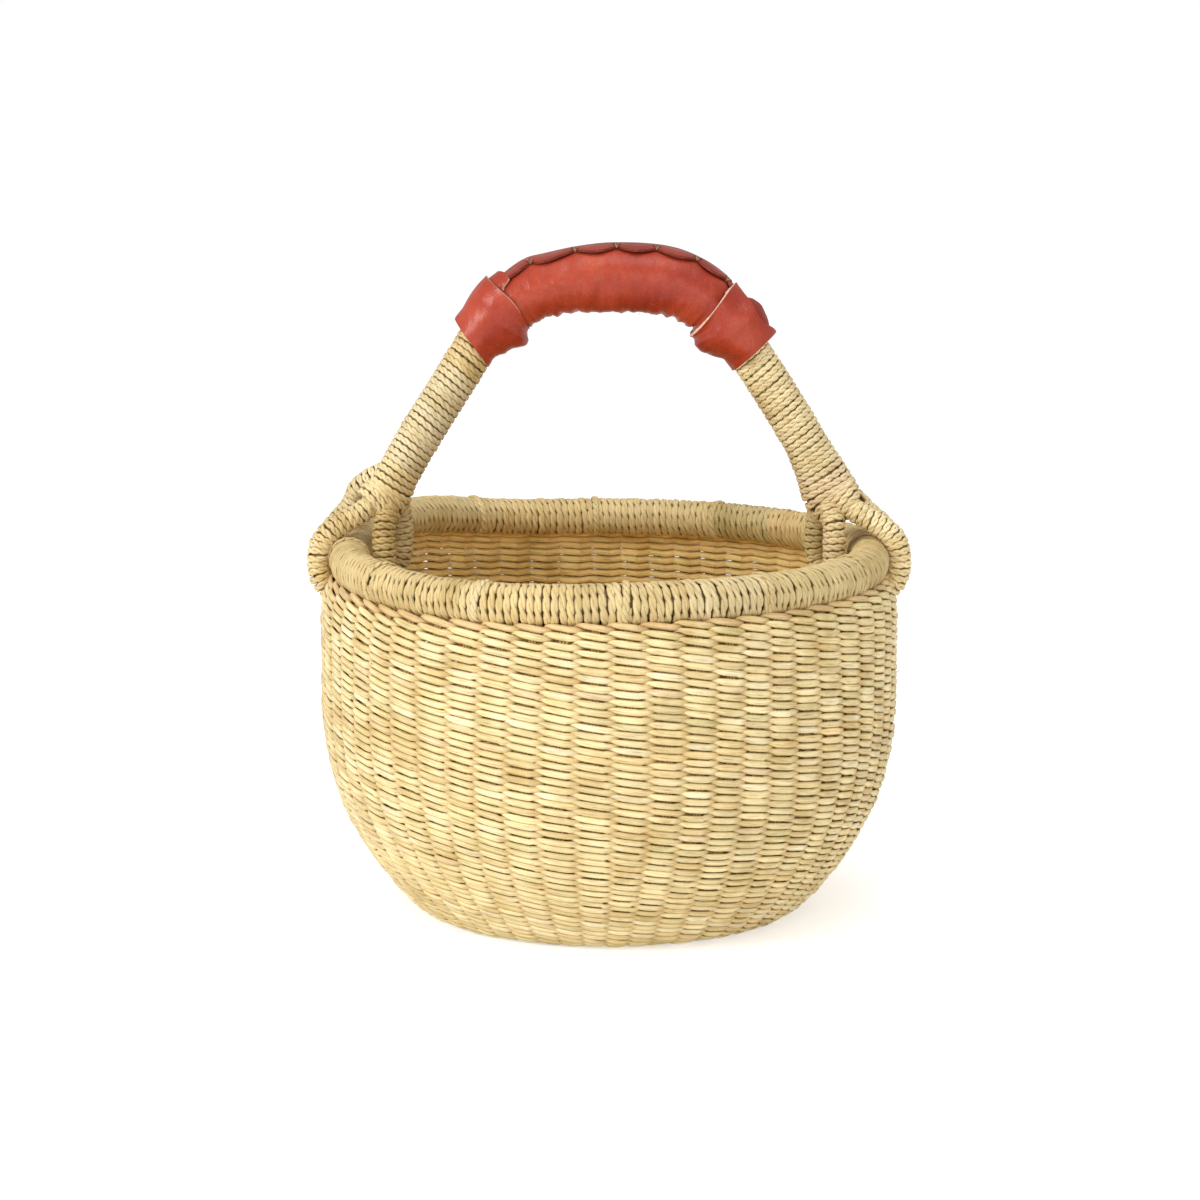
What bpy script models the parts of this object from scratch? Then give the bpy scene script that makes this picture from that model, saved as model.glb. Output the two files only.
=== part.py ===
"""A small round straw basket with a leather-gripped handle, in metres, +Z up.

The bowl is twined in one piece from a plaited mat outward and upward. Its stakes end in a
rolled rim, which separate lengths of straw bind. The handle is two bundles of straw. At each
end both bundles split into an eye that goes round the rim, so the handle can rock a little.
Its legs and eyes are wound with straw, and its middle is packed and sewn into leather.
The origin is under the middle of the bowl, on the floor. The handle spans along X.
"""
import math

import bmesh
import bpy
import numpy as np
from mathutils import Matrix, Vector

# Bowl
mat_radius = 0.038
turn_radius = 0.080
base_radius = 0.0845
belly_swell = 0.0057
belly_height = 0.100
belly_power = 2.45
mouth_power = 8
weave_thickness = 0.0045
rib_depth = 0.0014
stake_columns = 52
mat_columns = 26
slope_step = 0.0008
seat_gap = 0.0003

# Rim
rim_radius = 0.114
rim_height = 0.1547
rim_core_radius = 0.0069
straw_thickness = 0.0011
rim_lengths = 12
rim_steps_per_length = 5
mouth_angle = math.radians(38)

# Handle
handle_setback = 0.006
swing_limit = math.radians(12)
foot_inset = 0.0164
foot_rise = 0.0265
arch_rise = 0.0958
bundle_radius = 0.0080
strand_radius = 0.0034
strand_side = 0.0027
strand_depth = 0.0036
strand_root = 0.012
root_radius = 0.0025
wrap_gap = 0.0004
eye_spread = 0.0110
eye_slack = 0.0028
leg_loops = 24
eye_loops = 22
loop_gap = 0.0008
leg_wrap_margin = 0.003

# Grip
leather_half_length = 0.060
padding_inset = 0.002
cuff_start = 0.046
cuff_end = 0.074
leg_wrap_tuck = 0.008
leather_thickness = 0.0014
grip_radius = 0.0150
grip_end_radius = 0.0124
grip_power = 2.5
cuff_low_radius = 0.0122
cuff_power = 1.6
lacing_radius = 0.0010
lacing_half_length = 0.040
lacing_angle = math.radians(33)
lacing_sway = math.radians(7)
lacing_stitches = 7

# Half of the arch's middle line: share of the foot's reach, share of the rise above the foot
arch_shares = ((0, 1), (0.29, 0.974), (0.47, 0.887), (0.58, 0.73), (0.68, 0.574),
               (0.783, 0.41), (0.88, 0.245), (1, 0))
# Heights up the wall, as shares of the mouth's height
wall_height_shares = (0, 0.04, 0.11, 0.22, 0.38, 0.60, 0.90, 0.965, 1)
inner_height_shares = (0.06, 0.22, 0.45, 0.90)

# What follows from the sizes above
bore_reach = strand_radius + wrap_gap
strand_outer = bore_reach + straw_thickness
rim_outer = rim_core_radius + seat_gap + straw_thickness
rim_clear = rim_outer + seat_gap
mouth_radius = rim_radius + rim_clear * math.cos(mouth_angle)
mouth_height = rim_height - rim_clear * math.sin(mouth_angle)
belly_radius = mouth_radius + belly_swell
eye_drop = rim_outer + eye_slack + strand_outer
pivot_height = rim_height - eye_drop
foot_reach = rim_radius - foot_inset
foot_height = rim_height + foot_rise
leg_wrap_outer = bundle_radius + wrap_gap + straw_thickness
eye_reach = rim_outer + strand_outer + seat_gap

# Each eye's middle line round the rim, from the outer side of the leg, under the rim and
# up inside the bowl: outward from the rim's middle and up from it, as shares of the eye's
# reach, and sideways as a share of the eye's spread
front_eye_shares = ((-0.30, 1.76, 0.59), (0.42, 1.23, 0.82), (0.92, 0.60, 0.96), (0.99, -0.06, 1),
                    (0.84, -0.76, 1), (0.30, -1.15, 1), (-0.22, -1.19, 1), (-0.76, -0.94, 1),
                    (-1.08, -0.38, 1), (-1.13, 0.38, 0.95), (-1.15, 1.06, 0.80))
rear_eye_shares = ((-0.30, 2.02, 0.59), (0.34, 1.57, 0.82), (0.86, 0.88, 0.96), (1.02, 0.16, 1),
                   (0.95, -0.56, 1), (0.45, -1.10, 1), (-0.15, -1.19, 1), (-0.76, -1.02, 1),
                   (-1.28, -0.64, 1), (-1.54, 0, 1), (-1.56, 0.76, 0.93), (-1.50, 1.42, 0.73))

# Numbers of facets
round_sides = 8
sleeve_sides = 12
tube_resolution = 2
lacing_resolution = 1
bundle_rings = 37
strand_rings = 26
grip_rings = 13
cuff_rings = 5
fine_samples = 400
notch_facets = 8
lacing_points_per_stitch = 2


def clear_scene():
    for item in list(bpy.data.objects):
        bpy.data.objects.remove(item, do_unlink=True)


def new_collection(name):
    group = bpy.data.collections.new(name)
    bpy.context.scene.collection.children.link(group)
    return group


def finish_material(name, colour, roughness):
    finish = bpy.data.materials.new(name)
    finish.use_nodes = True
    shader = finish.node_tree.nodes["Principled BSDF"]
    shader.inputs["Base Color"].default_value = (*colour, 1)
    shader.inputs["Roughness"].default_value = roughness
    shader.inputs["Metallic"].default_value = 0
    return finish


def add_object(name, data, group, finish):
    """Link a mesh or curve as one named piece with a material of its own."""
    piece = bpy.data.objects.new(name, data)
    group.objects.link(piece)
    if finish:
        colour, roughness = finish
        data.materials.append(finish_material(name, colour, roughness))
    return piece


def shade(mesh):
    mesh.shade_smooth()
    mesh.set_sharp_from_angle(angle=math.radians(40))


def closed_mesh(name, shape):
    """Turn a bmesh into a mesh whose faces point out."""
    bmesh.ops.recalc_face_normals(shape, faces=shape.faces[:])
    if shape.calc_volume(signed=True) < 0:
        bmesh.ops.reverse_faces(shape, faces=shape.faces[:])
    mesh = bpy.data.meshes.new(name)
    shape.to_mesh(mesh)
    shape.free()
    shade(mesh)
    return mesh


def smooth_line(points, count):
    """Evenly spaced points on a natural cubic spline through the given ones."""
    knots = np.array(points, dtype=float)
    steps = np.linalg.norm(np.diff(knots, axis=0), axis=1)
    at = np.concatenate(([0], np.cumsum(steps)))
    size = len(knots)
    system = np.zeros((size, size))
    right = np.zeros_like(knots)
    system[0, 0] = 1
    system[-1, -1] = 1
    for i in range(1, size - 1):
        before, after = steps[i - 1], steps[i]
        system[i, i - 1:i + 2] = before, 2 * (before + after), after
        rise = (knots[i + 1] - knots[i]) / after - (knots[i] - knots[i - 1]) / before
        right[i] = 6 * rise
    bend = np.linalg.solve(system, right)
    fine = np.linspace(0, at[-1], fine_samples)
    spans = np.clip(np.searchsorted(at, fine, side="right") - 1, 0, size - 2)
    width = steps[spans][:, None]
    low = (at[spans + 1] - fine)[:, None]
    high = (fine - at[spans])[:, None]
    line = (bend[spans] * low ** 3 + bend[spans + 1] * high ** 3) / (6 * width)
    line += (knots[spans] / width - bend[spans] * width / 6) * low
    line += (knots[spans + 1] / width - bend[spans + 1] * width / 6) * high
    length = np.concatenate(([0], np.cumsum(np.linalg.norm(np.diff(line, axis=0), axis=1))))
    even = np.linspace(0, length[-1], count)
    return np.stack([np.interp(even, length, line[:, k]) for k in range(3)], axis=1)


class Route:
    """A middle line measured by its length, with a frame that never twists about it."""

    def __init__(self, points):
        self.points = smooth_line(points, fine_samples)
        steps = np.linalg.norm(np.diff(self.points, axis=0), axis=1)
        self.length = float(steps.sum())
        self.step = self.length / (fine_samples - 1)

    def station_of(self, point):
        nearest = np.argmin(np.linalg.norm(self.points - np.array(point), axis=1))
        return float(nearest) * self.step

    def frame(self, station):
        """Point, direction out of the arch, and direction towards the front."""
        at = min(max(station / self.step, 0), fine_samples - 1.001)
        low = int(at)
        share = at - low
        point = self.points[low] * (1 - share) + self.points[low + 1] * share
        before = self.points[max(low - 2, 0)]
        after = self.points[min(low + 3, fine_samples - 1)]
        along = (after - before) / np.linalg.norm(after - before)
        front = np.array((0.0, -1.0, 0.0))
        front -= along * np.dot(front, along)
        front /= np.linalg.norm(front)
        return point, np.cross(front, along), front

    def offset(self, station, radius, angle):
        """A point at a radius from the middle line, at an angle from out towards front."""
        point, out, front = self.frame(station)
        return point + radius * (math.cos(angle) * out + math.sin(angle) * front)


def loft(name, rings, ends_meet=False):
    """A closed body through rings of as many points each."""
    shape = bmesh.new()
    rows = [[shape.verts.new(point) for point in ring] for ring in rings]
    count = len(rows[0])
    pairs = list(zip(rows, rows[1:] + rows[:1])) if ends_meet else list(zip(rows, rows[1:]))
    for low, high in pairs:
        for i in range(count):
            j = (i + 1) % count
            shape.faces.new((low[i], low[j], high[j], high[i]))
    if not ends_meet:
        shape.faces.new(rows[0])
        shape.faces.new(reversed(rows[-1]))
    return closed_mesh(name, shape)


def turned_profile(name, points, steps, group, finish):
    """A closed profile in the XZ plane, turned about Z with a Screw modifier."""
    mesh = bpy.data.meshes.new(name)
    order = list(range(len(points)))
    edges = [(i, (i + 1) % len(points)) for i in order]
    mesh.from_pydata([(radius, 0, height) for radius, height in points], edges, [])
    piece = add_object(name, mesh, group, finish)
    turn = piece.modifiers.new("Turn", "SCREW")
    turn.steps = steps
    turn.render_steps = steps
    turn.use_merge_vertices = True
    turn.merge_threshold = 0.00001
    turn.use_smooth_shade = True
    return piece


def bevelled_curve(name, radius, resolution, capped):
    """A curve with a round bevel, kept upright along its length."""
    curve = bpy.data.curves.new(name, "CURVE")
    curve.dimensions = "3D"
    curve.twist_mode = "Z_UP"
    curve.bevel_depth = radius
    curve.bevel_resolution = resolution
    curve.use_fill_caps = capped
    return curve


def tube_curve(name, points, radius, resolution, group, finish, closed=False):
    """A capped tube through points, or a ring where the curve is closed."""
    curve = bevelled_curve(name, radius, resolution, not closed)
    spline = curve.splines.new("POLY")
    spline.points.add(len(points) - 1)
    for knot, point in zip(spline.points, points):
        knot.co = (*point, 1)
    spline.use_cyclic_u = closed
    return add_object(name, curve, group, finish)


def wall_outer(height):
    """The wall's outer radius at a height above the floor."""
    if height <= belly_height:
        share = 1 - (1 - height / belly_height) ** belly_power
        return base_radius + (belly_radius - base_radius) * share
    share = (height - belly_height) / (mouth_height - belly_height)
    return belly_radius - (belly_radius - mouth_radius) * share ** mouth_power


def wall_inner_point(height):
    """The point one weave thickness inside the wall's outer curve."""
    step = slope_step
    slope = (wall_outer(height + step) - wall_outer(height - step)) / (2 * step)
    normal = Vector((1, -slope)).normalized()
    return (wall_outer(height) - weave_thickness * normal.x,
            height - weave_thickness * normal.y)


def make_base(group, straw):
    """The plaited start mat and the flat twined ring around it."""
    shape = bmesh.new()
    made = bmesh.ops.create_cone(shape, cap_ends=True, segments=mat_columns * 2, depth=weave_thickness,
                                 radius1=mat_radius, radius2=mat_radius)
    bmesh.ops.translate(shape, verts=made["verts"], vec=(0, 0, weave_thickness / 2))
    add_object("base_mat", closed_mesh("base_mat", shape), group, straw)
    inner = mat_radius + seat_gap
    ring = [(inner, weave_thickness), (turn_radius, weave_thickness), (turn_radius, 0), (inner, 0)]
    turned_profile("base_weave", ring, stake_columns, group, straw)


def slot_cutter(name, beside, cutters):
    """A long round-bottomed slot along X, which cuts both walls for one pair of eyes."""
    half = strand_outer + seat_gap + (mouth_height - pivot_height) * math.sin(swing_limit)
    low = pivot_height - eye_spread * math.sin(swing_limit)
    outline = [(beside + half, rim_height)]
    for i in range(notch_facets + 1):
        angle = -math.pi * i / notch_facets
        outline.append((beside + half * math.cos(angle), low + half * math.sin(angle)))
    outline.append((beside - half, rim_height))
    reach = rim_radius + 2 * eye_reach
    rings = [[(side * reach, y, z) for y, z in outline] for side in (-1, 1)]
    cutter = add_object(name, loft(name, rings), cutters, None)
    cutter.hide_render = True
    cutter.display_type = "WIRE"
    return cutter


def make_side(group, cutters, straw):
    """The twined wall: ribbed outside, with openings under the rim where the eyes pass."""
    outer = [(wall_outer(share * mouth_height), share * mouth_height)
             for share in wall_height_shares]
    thick_angle = weave_thickness / rim_clear
    lip = [(rim_radius + rim_clear * math.cos(mouth_angle + thick_angle * share),
            rim_height - rim_clear * math.sin(mouth_angle + thick_angle * share))
           for share in (0.5, 1)]
    inner = [wall_inner_point(share * mouth_height) for share in reversed(inner_height_shares)]
    edge = turn_radius + seat_gap
    profile = outer + lip + inner + [(edge, weave_thickness), (edge, 0)]
    shape = bmesh.new()
    verts = [shape.verts.new((radius, 0, height)) for radius, height in profile]
    edges = [shape.edges.new((verts[i - 1], verts[i])) for i in range(len(verts))]
    bmesh.ops.spin(shape, geom=verts + edges, cent=(0, 0, 0), axis=(0, 0, 1), dvec=(0, 0, 0),
                   angle=2 * math.pi, steps=2 * stake_columns, use_merge=True)
    heights = [height for radius, height in outer[:-1]]
    for vert in shape.verts:
        reach = math.hypot(vert.co.x, vert.co.y)
        turn = math.atan2(vert.co.y, vert.co.x) * stake_columns / math.pi
        on_outside = any(abs(vert.co.z - height) < seat_gap / 10
                         and abs(reach - wall_outer(height)) < seat_gap / 10 for height in heights)
        if on_outside and round(turn) % 2:
            vert.co.x *= (reach - rib_depth) / reach
            vert.co.y *= (reach - rib_depth) / reach
    wall = add_object("side_weave", closed_mesh("side_weave", shape), group, straw)
    for side, label in ((-1, "front"), (1, "rear")):
        cut = wall.modifiers.new("Slot " + label, "BOOLEAN")
        cut.operation = "DIFFERENCE"
        cut.object = slot_cutter("slot_" + label, handle_setback + side * eye_spread, cutters)
        cut.solver = "EXACT"


def rim_arc(name, start, end, group, finish):
    """An open-ended tube round a stretch of the rim, with its ends square to the rim."""
    curve = bevelled_curve(name, rim_outer, tube_resolution, False)
    spline = curve.splines.new("BEZIER")
    spline.bezier_points.add(1)
    spline.resolution_u = rim_steps_per_length
    reach = 4 / 3 * math.tan((end - start) / 4) * rim_radius
    for knot, angle in zip(spline.bezier_points, (start, end)):
        middle = Vector((rim_radius * math.cos(angle), rim_radius * math.sin(angle), rim_height))
        along = Vector((-math.sin(angle), math.cos(angle), 0)) * reach
        knot.co = middle
        knot.handle_left = middle - along
        knot.handle_right = middle + along
    return add_object(name, curve, group, finish)


def make_rim(group, core_straw, binding_straws):
    """The rolled bundle of stake ends, and the lengths of straw that bind it."""
    steps = rim_lengths * rim_steps_per_length
    turns = [2 * math.pi * i / steps for i in range(steps)]
    ring = [(rim_radius * math.cos(a), rim_radius * math.sin(a), rim_height) for a in turns]
    tube_curve("rim_core", ring, rim_core_radius, tube_resolution, group, core_straw, closed=True)
    span = 2 * math.pi / rim_lengths
    trim = seat_gap / (rim_radius - rim_outer) / 2
    for i in range(rim_lengths):
        straw = binding_straws[i % len(binding_straws)]
        name = f"rim_binding_{i + 1:02d}"
        sleeve = rim_arc(name, i * span + trim, (i + 1) * span - trim, group, straw)
        wall = sleeve.modifiers.new("Straw", "SOLIDIFY")
        wall.thickness = straw_thickness
        wall.offset = -1


def arch_route():
    """The handle's middle line, from its left foot over the top to its right foot."""
    right = [(share_x * foot_reach, handle_setback, foot_height + share_z * arch_rise)
             for share_x, share_z in arch_shares]
    left = [(-x, y, z) for x, y, z in reversed(right[1:])]
    return Route(left + right)


def eye_route(arch, side, depth):
    """One eye's middle line: out of the leg, round the rim and back into the leg.

    side is -1 for the left foot and 1 for the right, depth -1 for front and 1 for rear.
    """
    foot = 0 if side < 0 else arch.length
    root = strand_root if side < 0 else arch.length - strand_root
    shares = front_eye_shares if depth < 0 else rear_eye_shares

    def in_leg(station, across):
        point, out, front = arch.frame(station)
        return point + across * out - depth * strand_depth * front

    points = [in_leg(root, strand_side), in_leg(foot, strand_side)]
    for outward, up, spread in shares:
        y = handle_setback + depth * spread * eye_spread
        rim_x = math.sqrt(rim_radius ** 2 - y ** 2)
        points.append((side * (rim_x + outward * eye_reach), y, rim_height + up * eye_reach))
    points += [in_leg(foot, -strand_side), in_leg(root, -strand_side)]
    return Route(points), points


def half_round(arch, station, depth):
    """Half of the leg's round section, on the front or rear side of the handle's plane."""
    point, out, front = arch.frame(station)
    ring = []
    for i in range(round_sides // 2 + 1):
        angle = 2 * math.pi * i / round_sides
        away = bundle_radius * math.sin(angle) + seat_gap / 2
        ring.append(point + bundle_radius * math.cos(angle) * out - depth * away * front)
    return ring


def strand_mesh(name, route):
    """An eye's round strand, thinner where its two ends lie side by side in the leg."""
    rings = []
    for i in range(strand_rings):
        station = route.length * i / (strand_rings - 1)
        from_end = min(station, route.length - station)
        share = min(max(from_end / strand_root - 1, 0), 1)
        radius = root_radius + (strand_radius - root_radius) * share
        rings.append([route.offset(station, radius, 2 * math.pi * k / round_sides)
                      for k in range(round_sides)])
    return loft(name, rings)


def make_bundle(arch, depth, label, group, cutters, straw):
    """One long bundle of straw with an eye round the rim at each end."""
    stations = [arch.length * i / (bundle_rings - 1) for i in range(bundle_rings)]
    rings = [half_round(arch, station, depth) for station in stations]
    name = "handle_bundle_" + label
    bundle = add_object(name, loft(name, rings), group, straw)
    eyes = []
    for side, side_label in ((-1, "left"), (1, "right")):
        route, points = eye_route(arch, side, depth)
        strand_name = f"strand_{label}_{side_label}"
        strand = add_object(strand_name, strand_mesh(strand_name, route), cutters, None)
        strand.hide_render = True
        strand.display_type = "WIRE"
        join = bundle.modifiers.new("Eye " + side_label, "BOOLEAN")
        join.operation = "UNION"
        join.object = strand
        join.solver = "EXACT"
        eyes.append((f"eye_binding_{side_label}_{label}", route, points))
    return bundle, eyes


def winding(name, route, start, end, loops, inner, outer, group, straw):
    """One unbroken length of straw wound round a route, loop beside loop."""
    pitch = (end - start - loop_gap) / (loops + 1)
    width = pitch - loop_gap
    corners = ((0, inner), (1, inner), (0.5, outer))
    rings = []
    for i in range(loops * round_sides + 1):
        low = start + pitch * i / round_sides
        angle = 2 * math.pi * i / round_sides
        rings.append([route.offset(low + share * width, radius, angle) for share, radius in corners])
    gaps = [np.linalg.norm(rings[i + round_sides][0] - rings[i][1])
            for i in range(len(rings) - round_sides)]
    print(f"{name}: {loops} loops, least gap to itself {min(gaps) * 1000:.2f} mm")
    return add_object(name, loft(name, rings), group, straw)


def even_stations(start, end, count):
    return [start + (end - start) * i / (count - 1) for i in range(count)]


def grip_sleeve(name, arch, stations, bore_at, outer_at, group, finish):
    """A sleeve on the arch, through stations measured from its top, open at both ends."""
    middle = arch.length / 2
    angles = [2 * math.pi * k / sleeve_sides for k in range(sleeve_sides)]
    outside = [[arch.offset(middle + s, outer_at(abs(s)), a) for a in angles] for s in stations]
    inside = [[arch.offset(middle + s, bore_at(abs(s)), a) for a in angles] for s in stations]
    return add_object(name, loft(name, outside + inside[::-1], ends_meet=True), group, finish)


def leather_outer(distance):
    """The grip's radius: full in the middle, drawn in under the cuffs."""
    share = min(max(distance / leather_half_length, 0), 1)
    return grip_radius - (grip_radius - grip_end_radius) * share ** grip_power


def leather_bore(distance):
    return leather_outer(distance) - leather_thickness


def padding_outer(distance):
    return leather_bore(distance) - seat_gap


def padding_bore(distance):
    """The padding's bore clears the bundles' corners with its own flats."""
    return (bundle_radius + seat_gap) / math.cos(math.pi / sleeve_sides) + seat_gap


def cuff_outer(distance):
    """A cuff's radius: over the grip's end at its mouth, snug on the leg at its lower end."""
    share = min(max((distance - cuff_start) / (cuff_end - cuff_start), 0), 1)
    mouth = leather_outer(cuff_start) + seat_gap + leather_thickness
    return mouth - (mouth - cuff_low_radius) * share ** cuff_power


def cuff_bore(distance):
    """A cuff's bore, clear of the grip's end and of the wound leg."""
    return cuff_outer(distance) - leather_thickness


def make_grip(arch, group, packing, leather, thong):
    """The packing, the sewn leather, its two cuffs and the lacing."""
    grip_stations = even_stations(-leather_half_length, leather_half_length, grip_rings)
    inset = leather_half_length - padding_inset
    packed_stations = [min(max(s, -inset), inset) for s in grip_stations]
    left_stations = even_stations(-cuff_end, -cuff_start, cuff_rings)
    right_stations = even_stations(cuff_start, cuff_end, cuff_rings)
    pieces = [
        grip_sleeve("grip_padding", arch, packed_stations, padding_bore, padding_outer, group, packing),
        grip_sleeve("grip_leather", arch, grip_stations, leather_bore, leather_outer, group, leather),
        grip_sleeve("grip_cuff_left", arch, left_stations, cuff_bore, cuff_outer, group, leather),
        grip_sleeve("grip_cuff_right", arch, right_stations, cuff_bore, cuff_outer, group, leather)]
    middle = arch.length / 2
    count = 2 * lacing_stitches * lacing_points_per_stitch
    points = []
    for i in range(count + 1):
        along = -lacing_half_length + 2 * lacing_half_length * i / count
        sway = lacing_sway * math.sin(2 * math.pi * lacing_stitches * i / count)
        radius = leather_outer(abs(along)) + seat_gap + lacing_radius
        points.append(arch.offset(middle + along, radius, lacing_angle + sway))
    pieces.append(tube_curve("grip_lacing", points, lacing_radius, lacing_resolution, group, thong))
    return pieces


def make_handle(group, cutters, straw, bindings, leather, thong):
    """Every piece that rocks with the handle."""
    arch = arch_route()
    pieces = []
    eyes = []
    for depth, label in ((-1, "front"), (1, "rear")):
        bundle, found = make_bundle(arch, depth, label, group, cutters, straw)
        pieces.append(bundle)
        eyes += found
    for i, (name, route, points) in enumerate(eyes):
        start = route.station_of(points[2])
        end = route.station_of(points[-3])
        pieces.append(winding(name, route, start, end, eye_loops, bore_reach, strand_outer,
                              group, bindings[i % len(bindings)]))
    middle = arch.length / 2
    reach = middle - leg_wrap_margin
    tuck = cuff_end - leg_wrap_tuck
    inner = bundle_radius + wrap_gap
    for side, label in ((-1, "left"), (1, "right")):
        start, end = sorted((middle + side * tuck, middle + side * reach))
        pieces.append(winding("leg_binding_" + label, arch, start, end, leg_loops, inner,
                              leg_wrap_outer, group, bindings[0]))
    pieces += make_grip(arch, group, straw, leather, thong)
    return pieces


def hang_on_pivot(pieces, cutters, group):
    """Put the handle's pieces under an empty that lies on the rocking axis."""
    pivot = bpy.data.objects.new("handle_pivot", None)
    pivot.location = (0, handle_setback, pivot_height)
    group.objects.link(pivot)
    back = Matrix.Translation(-pivot.location)
    strands = [item for item in cutters.objects if item.name.startswith("strand_")]
    for piece in pieces + strands:
        piece.data.transform(back)
        piece.parent = pivot


def main():
    clear_scene()
    group = new_collection("bolga_basket")
    cutters = new_collection("cutters")
    straw = ((0.72, 0.55, 0.28), 0.6)
    core_straw = ((0.55, 0.40, 0.19), 0.7)
    bindings = [((0.78, 0.62, 0.35), 0.55), ((0.70, 0.53, 0.27), 0.6), ((0.82, 0.68, 0.42), 0.5)]
    leather = ((0.45, 0.09, 0.04), 0.45)
    thong = ((0.22, 0.05, 0.03), 0.6)
    make_base(group, straw)
    make_side(group, cutters, straw)
    make_rim(group, core_straw, bindings)
    pieces = make_handle(group, cutters, core_straw, bindings, leather, thong)
    hang_on_pivot(pieces, cutters, group)


main()
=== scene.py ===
"""The bolga basket for its portrait: twined straw bowl, bound rim, wound handle, leather grip.

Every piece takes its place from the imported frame, in metres, with +Z up and -Y to the front.
A twined row is two straws that turn about each other between the upright stakes.
"""
import math

import bpy
import numpy as np
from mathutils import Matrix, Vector, noise


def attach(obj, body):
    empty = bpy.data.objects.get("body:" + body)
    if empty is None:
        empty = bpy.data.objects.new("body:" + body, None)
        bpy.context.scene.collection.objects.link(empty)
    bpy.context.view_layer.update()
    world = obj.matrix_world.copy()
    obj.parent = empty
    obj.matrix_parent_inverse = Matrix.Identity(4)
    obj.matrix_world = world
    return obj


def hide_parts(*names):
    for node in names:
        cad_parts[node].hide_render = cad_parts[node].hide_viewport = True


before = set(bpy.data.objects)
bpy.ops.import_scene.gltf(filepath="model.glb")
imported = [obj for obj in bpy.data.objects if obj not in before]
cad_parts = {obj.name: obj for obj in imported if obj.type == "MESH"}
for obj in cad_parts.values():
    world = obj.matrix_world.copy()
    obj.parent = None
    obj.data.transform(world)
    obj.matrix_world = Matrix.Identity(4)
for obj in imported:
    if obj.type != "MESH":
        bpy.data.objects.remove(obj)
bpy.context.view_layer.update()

chance = np.random.default_rng(41)

# Bowl
mat_radius = 0.038
belly_radius = 0.12648
belly_height = 0.100
belly_power = 2.45
base_radius = 0.0845
mouth_power = 8
mouth_radius = 0.12078
mouth_height = 0.14941
half_weave = 0.00225
floor_gap = 0.0001
# The corner between bottom and side: where the flat ends, its points and their rise, the side's start
flat_radius = 0.0775
corner_points = ((0.0806, 0.0003), (0.0836, 0.0013))
side_start = 0.0045
rim_gap = 0.0016
line_points = 700

# Twined rows
columns = 56
halved_radius = 0.058
bottom_edge = 0.081
row_pitch = 0.0033
steps_per_column = 10
straw_sides = 6
straw_half_depth = 0.00070
straw_girth = 0.005
crossing_drop = 0.00090
# A weaver's course over two columns: columns past the crossing, half width, height off the wall
weaver_course = np.array((
    (-0.50, 0.00150, -0.00132), (-0.23, 0.00148, -0.00124), (-0.17, 0.00118, -0.00060),
    (-0.12, 0.00068, 0.00060), (-0.05, 0.00084, 0.00150), (0.06, 0.00122, 0.00180),
    (0.20, 0.00147, 0.00196), (0.45, 0.00150, 0.00198), (0.70, 0.00150, 0.00184),
    (0.88, 0.00147, 0.00152), (1.00, 0.00132, 0.00108), (1.08, 0.00106, 0.00044),
    (1.13, 0.00092, -0.00050), (1.19, 0.00120, -0.00110), (1.28, 0.00148, -0.00126),
    (1.50, 0.00150, -0.00132)))
weaver_half_width = 0.00150
# Painted shade on a weaver where it goes under its neighbour: columns past the crossing, light
weaver_light = np.array(((-0.24, 1), (-0.16, 0.35), (-0.05, 0.75), (0.10, 1), (0.72, 1), (0.98, 0.45),
                         (1.12, 0), (1.20, 1)))
# How rows and columns wander: size, waves round the bowl, shift, and turn per metre of length
row_waves = ((0.0009, 2, 0.7, 9), (0.0005, 5, 2.1, -21), (0.0003, 11, 0, 60))
column_waves = ((0.16, 3, 0, 17), (0.09, 8, 1.3, -31))
# Straws per run of one colour, shortest and longest
row_runs = (14, 46)
# The upright straws of one column: how far from its middle, and half width
stake_straws = ((-0.00125, 0.00058), (0, 0.00058), (0.00125, 0.00058))
lining_steps = 6
lining_sides = 5
rows_per_piece = 11
mat_pitch = 0.0031

# Rim
rim_radius = 0.114
rim_height = 0.1547
rim_wraps = 227
rim_lengths = 12
rim_ply = (0.00092, 0.00074, 0.00082)
rim_join_ply = (0.00082, 0.00070, 0.00080)
rim_wrap_radius = 0.0076
rim_front_swell = 0.0004
rim_start = 0.06 - math.pi / 2
# The hand-made rim stands high at the rear left and low at the front left:
# direction in degrees, spread in degrees, height
rim_sways = ((142, 22, 0.0070), (238, 30, -0.0022))

# Handle
handle_setback = 0.006
foot_reach = 0.0976
foot_height = 0.1812
arch_rise = 0.0958
strand_side = 0.0027
strand_depth = 0.0036
strand_root = 0.012
strand_radius = 0.0034
strand_root_radius = 0.0025
eye_spread = 0.0110
eye_reach = 0.0135
wrap_pitch = 0.00290
leg_wrap_radius = 0.0086
eye_wrap_radius = 0.0042
eye_twists = 3.3
leg_twists = 7.2
# A ply's half width and half depth, and how far it lies from the cord's middle
handle_ply = (0.00079, 0.00076, 0.00073)
ply_rise = 0.00026

# Grip
grip_half = 0.060
grip_radius = 0.0150
grip_end_radius = 0.0124
grip_power = 2.5
cuff_start = 0.046
cuff_end = 0.074
cuff_low_radius = 0.0122
cuff_power = 1.6
leather_thickness = 0.0013
lap_rise = leather_thickness + 0.0002
seam_angle = math.radians(33)
stitch_places = (-0.050, -0.0315, -0.0140, 0.0031, 0.0190, 0.0343, 0.0462, 0.060)

# Half of the arch's middle line: share of the foot's reach, share of the rise above the foot
arch_shares = ((0, 1), (0.29, 0.974), (0.47, 0.887), (0.58, 0.73), (0.68, 0.574),
               (0.783, 0.41), (0.88, 0.245), (1, 0))
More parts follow.
